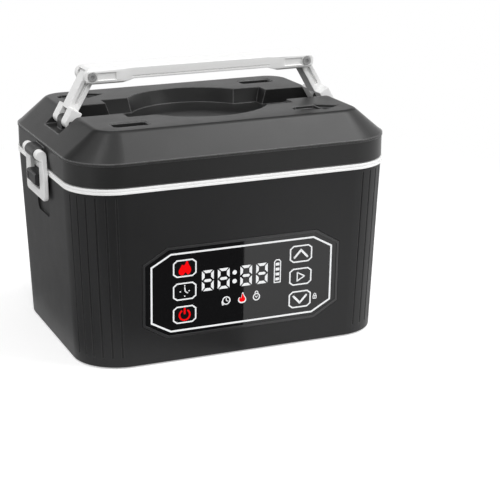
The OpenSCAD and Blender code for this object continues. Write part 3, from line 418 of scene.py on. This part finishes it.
# colours of the even surface and of the rounded edges (partly wear, partly a painted highlight);
# gloss is the strength of the reflection, grain the scale of the fine noise, bump and depth its
# relief, tone how far the colour wanders, glow a painted glow
finishes = {
    "body_black": {"colour": (0.0155, 0.0155, 0.016), "wornAndHighlight": (0.06, 0.06, 0.06), "rough": 0.46,
                   "grain": 1500.0, "bump": 0.35, "wearAndHighlight": 0.45, "tone": 0.16, "gloss": 0.22},
    # the lid's light edge colour and strong wear paint a highlight along its rounded edges
    "lid_black": {"colour": (0.018, 0.018, 0.018), "wornAndHighlight": (0.14, 0.14, 0.14), "rough": 0.34,
                  "grain": 1500.0, "bump": 0.3, "wearAndHighlight": 0.8, "tone": 0.14, "gloss": 0.26},
    "catch_black": {"colour": (0.015, 0.015, 0.016), "wornAndHighlight": (0.06, 0.06, 0.06), "rough": 0.4,
                    "wearAndHighlight": 0.3, "gloss": 0.3},
    "inner_black": {"colour": (0.020, 0.020, 0.021), "wornAndHighlight": (0.06, 0.06, 0.06), "rough": 0.55,
                    "grain": 1200.0, "bump": 0.4},
    "foot_rubber": {"colour": (0.014, 0.014, 0.014), "wornAndHighlight": (0.05, 0.05, 0.05), "rough": 0.85,
                    "grain": 900.0, "bump": 0.5},
    # white_shell's glow is a painted glow that makes the white plastic brighter
    "white_shell": {"colour": (0.90, 0.90, 0.895), "wornAndHighlight": (0.86, 0.86, 0.84), "rough": 0.34,
                    "tone": 0.04, "bump": 0.12, "wearAndHighlight": 0.2, "glow": 0.06},
    "white_gloss": {"colour": (0.86, 0.86, 0.855), "wornAndHighlight": (0.8, 0.8, 0.78), "rough": 0.3,
                    "tone": 0.05, "bump": 0.12, "wearAndHighlight": 0.3},
    "cap_grey": {"colour": (0.30, 0.30, 0.30), "wornAndHighlight": (0.45, 0.45, 0.45), "rough": 0.3,
                 "tone": 0.06},
    "slider_grey": {"colour": (0.55, 0.56, 0.57), "wornAndHighlight": (0.62, 0.62, 0.62), "rough": 0.42,
                    "tone": 0.08},
    "liner_white": {"colour": (0.68, 0.69, 0.70), "wornAndHighlight": (0.74, 0.74, 0.74), "rough": 0.4,
                    "tone": 0.06},
    "foam": {"colour": (0.75, 0.72, 0.65), "wornAndHighlight": (0.7, 0.66, 0.58), "rough": 0.95, "grain": 700.0,
             "depth": 0.6 * mm, "bump": 0.9, "tone": 0.3},
    "mica": {"colour": (0.28, 0.19, 0.10), "wornAndHighlight": (0.4, 0.3, 0.16), "rough": 0.5, "grain": 500.0},
    "ceramic": {"colour": (0.70, 0.66, 0.56), "wornAndHighlight": (0.75, 0.7, 0.6), "rough": 0.25},
    "cell_wrap": {"colour": (0.05, 0.17, 0.42), "wornAndHighlight": (0.2, 0.3, 0.5), "rough": 0.22,
                  "bump": 0.1},
    "circuit_board": {"colour": (0.02, 0.15, 0.06), "wornAndHighlight": (0.3, 0.26, 0.1), "rough": 0.35,
                      "grain": 2600.0, "bump": 0.4},
    "board_component": {"colour": (0.09, 0.10, 0.11), "wornAndHighlight": (0.2, 0.2, 0.2), "rough": 0.45},
    "bezel_black": {"colour": (0.020, 0.020, 0.021), "wornAndHighlight": (0.07, 0.07, 0.07), "rough": 0.38,
                    "wearAndHighlight": 0.3},
    "display_module": {"colour": (0.70, 0.70, 0.71), "wornAndHighlight": (0.7, 0.7, 0.7), "rough": 0.5},
    "ribbon": {"colour": (0.27, 0.28, 0.30), "wornAndHighlight": (0.4, 0.4, 0.4), "rough": 0.5},
    "lead_red": {"colour": (0.45, 0.03, 0.02), "wornAndHighlight": (0.5, 0.1, 0.08), "rough": 0.5},
    "gasket_grey": {"colour": (0.36, 0.37, 0.38), "wornAndHighlight": (0.42, 0.42, 0.42), "rough": 0.7,
                    "grain": 900.0, "bump": 0.3},
    "seal_orange": {"colour": (0.62, 0.20, 0.03), "wornAndHighlight": (0.66, 0.28, 0.1), "rough": 0.6,
                    "grain": 900.0, "bump": 0.3},
    "scale_grey": {"colour": (0.62, 0.63, 0.64), "wornAndHighlight": (0.66, 0.66, 0.66), "rough": 0.4},
    "dial_orange": {"colour": (0.85, 0.32, 0.05), "wornAndHighlight": (0.88, 0.42, 0.14), "rough": 0.28,
                    "tone": 0.06, "bump": 0.12},
    "stem_dark": {"colour": (0.08, 0.07, 0.06), "wornAndHighlight": (0.14, 0.13, 0.12), "rough": 0.4},
    "clear_grey": {"colour": (0.30, 0.31, 0.33), "wornAndHighlight": (0.5, 0.5, 0.52), "rough": 0.12,
                   "tone": 0.04, "bump": 0.05, "alpha": 0.6},
    "panel_black": {"colour": (0.0055, 0.0055, 0.006), "wornAndHighlight": (0.02, 0.02, 0.02), "rough": 0.035,
                    "spread": 0.03, "tone": 0.05, "bump": 0.02, "grain": 300.0, "gloss": 0.41},
}
metals = {
    "screw_steel": {"colour": (0.55, 0.56, 0.57), "rough": 0.28, "stroke": (400.0, 400.0, 400.0)},
    "well_metal": {"colour": (0.62, 0.63, 0.64), "rough": 0.34},
    "heat_metal": {"colour": (0.50, 0.51, 0.52), "rough": 0.42, "stroke": (300.0, 300.0, 300.0)},
    "container_steel": {"colour": (0.58, 0.59, 0.60), "rough": 0.24,
                        "stroke": (18.0, 18.0, 3200.0)},
}
# the glow of these marks is a painted glow on the printed ink
inks = {
    "markWhite": {"colour": (0.82, 0.83, 0.84), "wornAndHighlight": (0.8, 0.8, 0.8), "rough": 0.5, "tone": 0.05,
                  "bump": 0.05, "glow": 0.12, "gloss": 0.1},
    "markRed": {"colour": (0.80, 0.001, 0.003), "wornAndHighlight": (0.7, 0.02, 0.02), "rough": 0.5,
                "tone": 0.08, "bump": 0.05, "glow": 0.2, "gloss": 0.05},
}
materials = {name: mouldedMaterial(name, s) for name, s in (finishes | inks).items()}
materials.update({name: metalMaterial(name, s) for name, s in metals.items()})

slotOf = {s["node"]: s["material_slot"] for s in frame["record"]["subparts"]}
for nodeName, nodeObject in frame["nodes"].items():
    nodeObject.data.materials.clear()
    nodeObject.data.materials.append(materials[slotOf[nodeName]])
print("materials are on every carried-over node")

# pieces with rounded edges in place of the sharp solids

bodyOf = {n: b for b, names in frame["record"]["behaviour"]["bodies"].items() for n in names}


def markSmooth(bm, angle):
    for face in bm.faces:
        face.smooth = True
    for edge in bm.edges:
        edge.smooth = len(edge.link_faces) == 2 and edge.calc_face_angle(0.0) < math.radians(angle)


def addPiece(bm, name, slotName, body, replaced=(), look=None):
    mesh = bpy.data.meshes.new(name)
    bm.to_mesh(mesh)
    bm.free()
    piece = bpy.data.objects.new(name, mesh)
    bpy.context.scene.collection.objects.link(piece)
    mesh.materials.append(look or materials[slotName])
    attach(piece, body)
    if replaced:
        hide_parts(*replaced)
    return piece


meshSettings = {
    "meld": 0.004 * mm,      # vertices closer than this are one
    "level": 0.4,            # faces within this angle are one flat face, in degrees
    "reach": 0.45,           # a round corner's middle is no farther from its faces, in widths
    "smooth": 50,            # shading runs over edges below this angle, in degrees
    "flatWeight": 80,        # how strongly large faces stay flat up to their edges, in per cent
}


def roundEdges(bm, edges, width, segments):
    # bevel faces carry the mark for the edge colour, which is partly wear and partly a painted
    # highlight
    wearAndHighlight = bm.loops.layers.float.get("edge") or bm.loops.layers.float.new("edge")
    made = bmesh.ops.bevel(bm, geom=edges, offset=width, offset_type="OFFSET", segments=segments,
                           profile=0.5, affect="EDGES", clamp_overlap=False, material=-1)
    for face in made["faces"]:
        if face.is_valid:
            for loop in face.loops:
                loop[wearAndHighlight] = 1.0


def roundedNode(nodeName, settings):
    bm = bmesh.new()
    bm.from_mesh(frame["nodes"][nodeName].data)
    bmesh.ops.remove_doubles(bm, verts=bm.verts, dist=meshSettings["meld"])
    bmesh.ops.dissolve_limit(bm, angle_limit=math.radians(meshSettings["level"]),
                             use_dissolve_boundaries=False, verts=bm.verts, edges=bm.edges,
                             delimit=set())
    bmesh.ops.connect_verts_concave(bm, faces=bm.faces)
    surface = BVHTree.FromBMesh(bm)
    sharp = [e for e in bm.edges if e.is_manifold
             and math.degrees(e.calc_face_angle(0.0)) > settings["angle"]]
    roundEdges(bm, sharp, settings["width"], settings["segments"])
    for vertex in bm.verts:      # a point thrown off by a short edge goes back to the surface
        place, _, _, distance = surface.find_nearest(vertex.co)
        if distance > meshSettings["reach"] * settings["width"]:
            vertex.co = place
    markSmooth(bm, meshSettings["smooth"])
    piece = addPiece(bm, nodeName + "Round", slotOf[nodeName], bodyOf[nodeName], (nodeName,))
    flat = piece.modifiers.new("flatFaces", "WEIGHTED_NORMAL")
    flat.mode = "FACE_AREA"
    flat.weight = meshSettings["flatWeight"]
    flat.keep_sharp = True


# width of the round, and the angle above which an edge gets it, in degrees
rounding = {
    "lid_shell": {"width": 0.5 * mm, "segments": 3, "angle": 24},
    "body_shell": {"width": 0.2 * mm, "segments": 2, "angle": 24},
    "trim_band": {"width": 0.25 * mm, "segments": 2, "angle": 30},
    "latch_left": {"width": 0.6 * mm, "segments": 3, "angle": 30},
    "latch_right": {"width": 0.6 * mm, "segments": 3, "angle": 30},
    "leg_left": {"width": 0.45 * mm, "segments": 3, "angle": 30},
    "leg_right": {"width": 0.45 * mm, "segments": 3, "angle": 30},
    "grip": {"width": 0.35 * mm, "segments": 2, "angle": 30},
    "latch_catch_left": {"width": 0.4 * mm, "segments": 3, "angle": 24},
    "latch_catch_right": {"width": 0.4 * mm, "segments": 3, "angle": 24},
    "panel_bezel": {"width": 0.15 * mm, "segments": 2, "angle": 20},
    "vent_dial": {"width": 0.4 * mm, "segments": 3, "angle": 30},
    "container_lid": {"width": 0.4 * mm, "segments": 3, "angle": 30},
}
for nodeName, settings in rounding.items():
    roundedNode(nodeName, settings)
print("edges are rounded")

# printed marks on the touch window, in millimetres from the window's middle

panelSettings = {
    "height": 54.5 * mm, "front": -91.026 * mm, "lean": 2.176,   # place and lean of the window
    "surface": -0.29, "thick": 0.06, "flameLift": 0.03,
    "outline": {"w": 144.4, "h": 60.9, "cutU": 15.4, "cutV": 8.6, "line": 1.35},
    "key": {"w": 18.3, "h": 13.5, "cutU": 3.0, "cutV": 2.4, "line": 1.05},
    "digitPlaces": [-27.6, -15.1, 2.8, 15.4], "digitFoot": -2.0,
    "digit": {"w": 9.3, "h": 16.0, "bar": 2.1, "gap": 0.9},
    "colon": {"u": -6.4, "v": (9.6, 2.7), "radius": 1.75},
    "battery": {"w": 5.7, "h": 18.6, "cutU": 1.5, "cutV": 1.8, "line": 0.8, "squareFoot": True},
    "cell": {"w": 3.0, "h": 2.2, "cutU": 0.2, "cutV": 0.2}, "cellPitch": 3.9, "cellDrop": 0.4,
    "lockBody": {"w": 3.2, "h": 2.9, "cutU": 0.4, "cutV": 0.4, "line": 0.6},
    "powerRing": {"radius": 4.7, "line": 1.35, "gap": 64, "drop": 0.4},
    "iconRings": {"timer": (3.3, 0.85), "lock": (2.9, 0.85)},      # radius and line
    "clockDots": [(-3.4, 0), (3.4, 0), (0, -3.8), (0, 4.3)], "clockDot": 0.5,
    "flameSizes": (1.22, 0.92),      # white edge and red middle of the small flame
}
keyPlaces = {
    "flameKey": (-45.6, 17.8), "clockKey": (-45.6, 0), "powerKey": (-45.6, -18.1),
    "upKey": (47.0, 17.6), "startKey": (47.0, -0.5), "downKey": (47.0, -18.7),
}
markPlaces = keyPlaces | {
    "outline": (0.3, -0.35), "battery": (28.0, 6.2), "timer": (-12.8, -11.7),
    "flame": (-0.1, -11.2), "lock": (11.4, -12.0), "smallLock": (59.4, -18.6),
}
redStrokes = [("powerKey", 1.5, [(0, 4.6), (0, 0.8)])]      # place, width and points
whiteStrokes = [
    ("clockKey", 0.8, [(0, 3.0), (0.4, -0.2), (2.3, -1.5)]),
    ("upKey", 1.6, [(-5.2, -2.7), (0, 2.9), (5.2, -2.7)]),
    ("downKey", 1.6, [(-5.2, 2.7), (0, -2.9), (5.2, 2.7)]),
    ("startKey", 0.9, [(-2.6, 3.4), (3.4, 0), (-2.6, -3.4), (-2.6, 3.4)]),
    ("timer", 0.7, [(0, 1.7), (0, 0), (1.4, -0.7)]),
    ("timer", 0.8, [(-3.5, -0.6), (-2.9, -3.2), (-1.4, -2.4)]),
    ("lock", 0.7, [(-1.3, 2.5), (-1.0, 4.0), (0, 4.6), (1.0, 4.0), (1.3, 2.5)]),
    ("lock", 0.6, [(-0.9, 0.7), (0, -0.5), (0.9, 0.7)]),
    ("smallLock", 0.55, [(-0.9, 1.4), (-0.9, 2.4), (0, 3.0), (0.9, 2.4), (0.9, 1.4)]),
    ("smallLock", 0.6, [(0, 0.3), (0, -0.4)]),
]
flameShape = [
    (1.7, 5.4), (3.1, 2.6), (4.8, -0.6), (4.4, -3.4), (2.4, -5.0), (0.5, -3.3), (-1.2, -5.1),
    (-3.9, -4.4), (-4.7, -1.8), (-3.2, 1.0), (-1.9, 2.9), (-0.8, 2.3), (0.5, 3.6),
]
smallFlameShape = [
    (0.4, 3.4), (1.2, 1.7), (2.5, -0.4), (2.3, -2.6), (0.2, -3.5), (-2.1, -2.8), (-2.6, -0.8),
    (-1.6, 0.5), (-1.1, -0.2), (-0.4, 1.6),
]


def onWindow():
    lean = math.radians(90 + panelSettings["lean"])
    return (Matrix.Translation((0, panelSettings["front"], panelSettings["height"]))
            @ Matrix.Rotation(lean, 4, "X") @ Matrix.Scale(mm, 4))


def joinInto(target, source, place, turn=0.0):
    # adds a small shape to a larger one at a place on the window
    bmesh.ops.rotate(source, matrix=Matrix.Rotation(math.radians(turn), 3, "Z"), verts=source.verts)
    bmesh.ops.translate(source, vec=(*place, 0), verts=source.verts)
    mesh = bpy.data.meshes.new("part")
    source.to_mesh(mesh)
    source.free()
    target.from_mesh(mesh)
    bpy.data.meshes.remove(mesh)


def insetRing(bm, line):
    inner = list(bm.faces)
    bmesh.ops.inset_region(bm, faces=inner, thickness=line, use_boundary=True,
                           use_even_offset=True)
    bmesh.ops.delete(bm, geom=inner, context="FACES")


def cutPlate(settings, filled=False):
    # rectangle with cut corners, filled or as an outline
    bm = bmesh.new()
    bmesh.ops.create_grid(bm, x_segments=1, y_segments=1, size=0.5)
    cutU, cutV = settings["cutU"], settings["cutV"]
    bmesh.ops.scale(bm, vec=(settings["w"] / cutU, settings["h"] / cutV, 1), verts=bm.verts)
    cut = [v for v in bm.verts if v.co.y > 0 or not settings.get("squareFoot")]
    bmesh.ops.bevel(bm, geom=cut, offset=1, offset_type="OFFSET", segments=1, profile=0.5,
                    affect="VERTICES", material=-1, clamp_overlap=False)
    bmesh.ops.scale(bm, vec=(cutU, cutV, 1), verts=bm.verts)
    if not filled:
        insetRing(bm, settings["line"])
    return bm


def segmentBar(length, thick, ends):
    # one bar of a digit: both ends mitred to one side, or to a point at the middle
    bm = bmesh.new()
    bmesh.ops.create_grid(bm, x_segments=1, y_segments=2 if ends == "point" else 1, size=0.5)
    bmesh.ops.scale(bm, vec=(length, thick, 1), verts=bm.verts)
    for corner in bm.verts:
        if ends == "point" and abs(corner.co.y) > thick / 4:
            corner.co.x -= math.copysign(thick / 2, corner.co.x)
        elif ends == "side" and corner.co.y < 0:
            corner.co.x -= math.copysign(thick, corner.co.x)
    return bm


def addDigit(target, u, foot, settings):
    w, h, bar, gap = settings["w"], settings["h"], settings["bar"], settings["gap"]
    upright = h / 2 - gap
    joinInto(target, segmentBar(w - 2 * gap, bar, "side"), (u, foot + h - bar / 2))
    joinInto(target, segmentBar(w - 2 * gap, bar, "side"), (u, foot + bar / 2), 180)
    joinInto(target, segmentBar(w - 2 * gap - 0.6 * bar, bar, "point"), (u, foot + h / 2))
    for side in (-1, 1):
        for half in (0, 1):
            joinInto(target, segmentBar(upright, bar, "side"),
                     (u + side * (w - bar) / 2, foot + h * (0.25 + 0.5 * half)), -90 * side)


def addDisc(target, place, radius):
    bm = bmesh.new()
    bmesh.ops.create_circle(bm, cap_ends=True, segments=24, radius=radius)
    joinInto(target, bm, place)


def fromTop(face):
    # how far round from the top a face of a ring sits, in degrees
    middle = face.calc_center_median()
    return abs(math.degrees(math.atan2(middle.x, middle.y)))


def addRing(target, place, radius, line, gap=0):
    # ring with an opening of that many degrees at the top
    bm = bmesh.new()
    bmesh.ops.create_circle(bm, cap_ends=True, segments=48, radius=radius)
    insetRing(bm, line)
    opening = [f for f in bm.faces if fromTop(f) < gap / 2]
    bmesh.ops.delete(bm, geom=opening, context="FACES")
    joinInto(target, bm, place)


def addLine(target, points, width):
    # straight strokes with round joints
    for start, end in zip(points, points[1:]):
        run = Vector(end) - Vector(start)
        bm = bmesh.new()
        bmesh.ops.create_grid(bm, x_segments=1, y_segments=1, size=0.5)
        bmesh.ops.scale(bm, vec=(run.length, width, 1), verts=bm.verts)
        middle = (Vector(start) + Vector(end)) / 2
        joinInto(target, bm, middle, math.degrees(math.atan2(run.y, run.x)))
    for point in points:
        addDisc(target, point, width / 2)


def addOutline(target, place, points, size=1.0):
    # filled shape inside a smooth closed curve
    curve = bpy.data.curves.new("outline", "CURVE")
    curve.dimensions = "2D"
    curve.fill_mode = "BOTH"
    curve.resolution_u = 6
    spline = curve.splines.new("BEZIER")
    spline.bezier_points.add(len(points) - 1)
    for knot, (u, v) in zip(spline.bezier_points, points):
        knot.co = (size * u, size * v, 0)
        knot.handle_left_type = knot.handle_right_type = "AUTO"
    spline.use_cyclic_u = True
    drawn = bpy.data.objects.new("outline", curve)
    bpy.context.scene.collection.objects.link(drawn)
    graph = bpy.context.evaluated_depsgraph_get()
    mesh = bpy.data.meshes.new_from_object(drawn.evaluated_get(graph))
    bm = bmesh.new()
    bm.from_mesh(mesh)
    bmesh.ops.remove_doubles(bm, verts=bm.verts, dist=0.0001)
    bpy.data.objects.remove(drawn)
    bpy.data.meshes.remove(mesh)
    joinInto(target, bm, place)


def addStrokes(target, strokes):
    for placeName, width, points in strokes:
        u, v = markPlaces[placeName]
        addLine(target, [(u + du, v + dv) for du, dv in points], width)


def raiseMarks(marks, name, slotName, look, lift=0.0):
    # gives the flat marks their thickness, puts them on the window and makes them a piece
    for face in marks.faces:
        if face.normal.z < 0:
            face.normal_flip()
    raised = bmesh.ops.extrude_face_region(marks, geom=list(marks.faces))["geom"]
    tops = [v for v in raised if isinstance(v, bmesh.types.BMVert)]
    bmesh.ops.translate(marks, vec=(0, 0, panelSettings["thick"]), verts=tops)
    bmesh.ops.translate(marks, vec=(0, 0, panelSettings["surface"] + lift), verts=marks.verts)
    bmesh.ops.recalc_face_normals(marks, faces=marks.faces)
    marks.transform(onWindow())
    addPiece(marks, name, slotName, "base", (), look)


whiteMarks = bmesh.new()
joinInto(whiteMarks, cutPlate(panelSettings["outline"]), markPlaces["outline"])
for place in keyPlaces.values():
    joinInto(whiteMarks, cutPlate(panelSettings["key"]), place)
for u in panelSettings["digitPlaces"]:
    addDigit(whiteMarks, u, panelSettings["digitFoot"], panelSettings["digit"])
for v in panelSettings["colon"]["v"]:
    addDisc(whiteMarks, (panelSettings["colon"]["u"], v), panelSettings["colon"]["radius"])
joinInto(whiteMarks, cutPlate(panelSettings["battery"]), markPlaces["battery"])
for k in (-1.5, -0.5, 0.5, 1.5):      # four cells, counted from the battery's middle
    u, v = markPlaces["battery"]
    level = v + k * panelSettings["cellPitch"] - panelSettings["cellDrop"]
    joinInto(whiteMarks, cutPlate(panelSettings["cell"], True), (u, level))
for du, dv in panelSettings["clockDots"]:
    u, v = markPlaces["clockKey"]
    addDisc(whiteMarks, (u + du, v + dv), panelSettings["clockDot"])
for ringName, (radius, line) in panelSettings["iconRings"].items():
    addRing(whiteMarks, markPlaces[ringName], radius, line)
joinInto(whiteMarks, cutPlate(panelSettings["lockBody"]), markPlaces["smallLock"])
addStrokes(whiteMarks, whiteStrokes)
flameEdge, flameMiddle = panelSettings["flameSizes"]
addOutline(whiteMarks, markPlaces["flame"], smallFlameShape, flameEdge)
raiseMarks(whiteMarks, "panelMarks", "display_module", materials["markWhite"])

redMarks = bmesh.new()
addOutline(redMarks, markPlaces["flameKey"], flameShape)
powerU, powerV = markPlaces["powerKey"]
power = panelSettings["powerRing"]
addRing(redMarks, (powerU, powerV - power["drop"]), power["radius"], power["line"], power["gap"])
addStrokes(redMarks, redStrokes)
raiseMarks(redMarks, "panelRedMarks", "lead_red", materials["markRed"])

smallFlame = bmesh.new()
addOutline(smallFlame, markPlaces["flame"], smallFlameShape, flameMiddle)
raiseMarks(smallFlame, "panelFlame", "lead_red", materials["markRed"], panelSettings["flameLift"])
print("marks are on the window")

# ribs and dial ticks of the container's own lid

coverSettings = {      # millimetres and degrees
    "ribs": 6, "pitch": 11.0, "side": 57.0, "reach": 22.0, "taper": 4.0, "slant": 34,
    "line": 0.9, "height": 0.35,
    "ticks": 24, "tickIn": 15.0, "tickOut": 17.6, "longTick": 18.1, "longEvery": 4,
    "tickLine": 0.45, "tickHeight": 0.06,
}
scaleFoot, scaleTop = (corner[2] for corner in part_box("dial_scale"))


def direction(degrees):
    return Vector((math.cos(math.radians(degrees)), math.sin(math.radians(degrees))))


def raiseLines(lines, height, level, name, slotName):
    # thin raised lines on a level of the cover
    raised = bmesh.ops.extrude_face_region(lines, geom=list(lines.faces))["geom"]
    tops = [v for v in raised if isinstance(v, bmesh.types.BMVert)]
    bmesh.ops.translate(lines, vec=(0, 0, height), verts=tops)
    bmesh.ops.recalc_face_normals(lines, faces=lines.faces)
    bmesh.ops.scale(lines, vec=(mm, mm, mm), verts=lines.verts)
    bmesh.ops.translate(lines, vec=(0, 0, level), verts=lines.verts)
    addPiece(lines, name, slotName, bodyOf["container_lid"])


ribs = bmesh.new()
for side in (-1, 1):
    for k in range(coverSettings["ribs"]):
        row = k - (coverSettings["ribs"] - 1) / 2
        middle = Vector((side * coverSettings["side"], row * coverSettings["pitch"]))
        reach = coverSettings["reach"] - coverSettings["taper"] * abs(row)
        half = direction(coverSettings["slant"]) * reach
        addLine(ribs, [middle - half, middle + half], coverSettings["line"])
raiseLines(ribs, coverSettings["height"], scaleFoot, "coverRibs", "clear_grey")

ticks = bmesh.new()
for k in range(coverSettings["ticks"]):
    spoke = direction(360 * k / coverSettings["ticks"])
    end = coverSettings["tickOut"] if k % coverSettings["longEvery"] else coverSettings["longTick"]
    addLine(ticks, [spoke * coverSettings["tickIn"], spoke * end], coverSettings["tickLine"])
raiseLines(ticks, coverSettings["tickHeight"], scaleTop, "dialTicks", "stem_dark")
print("the container's lid has its ribs and ticks")
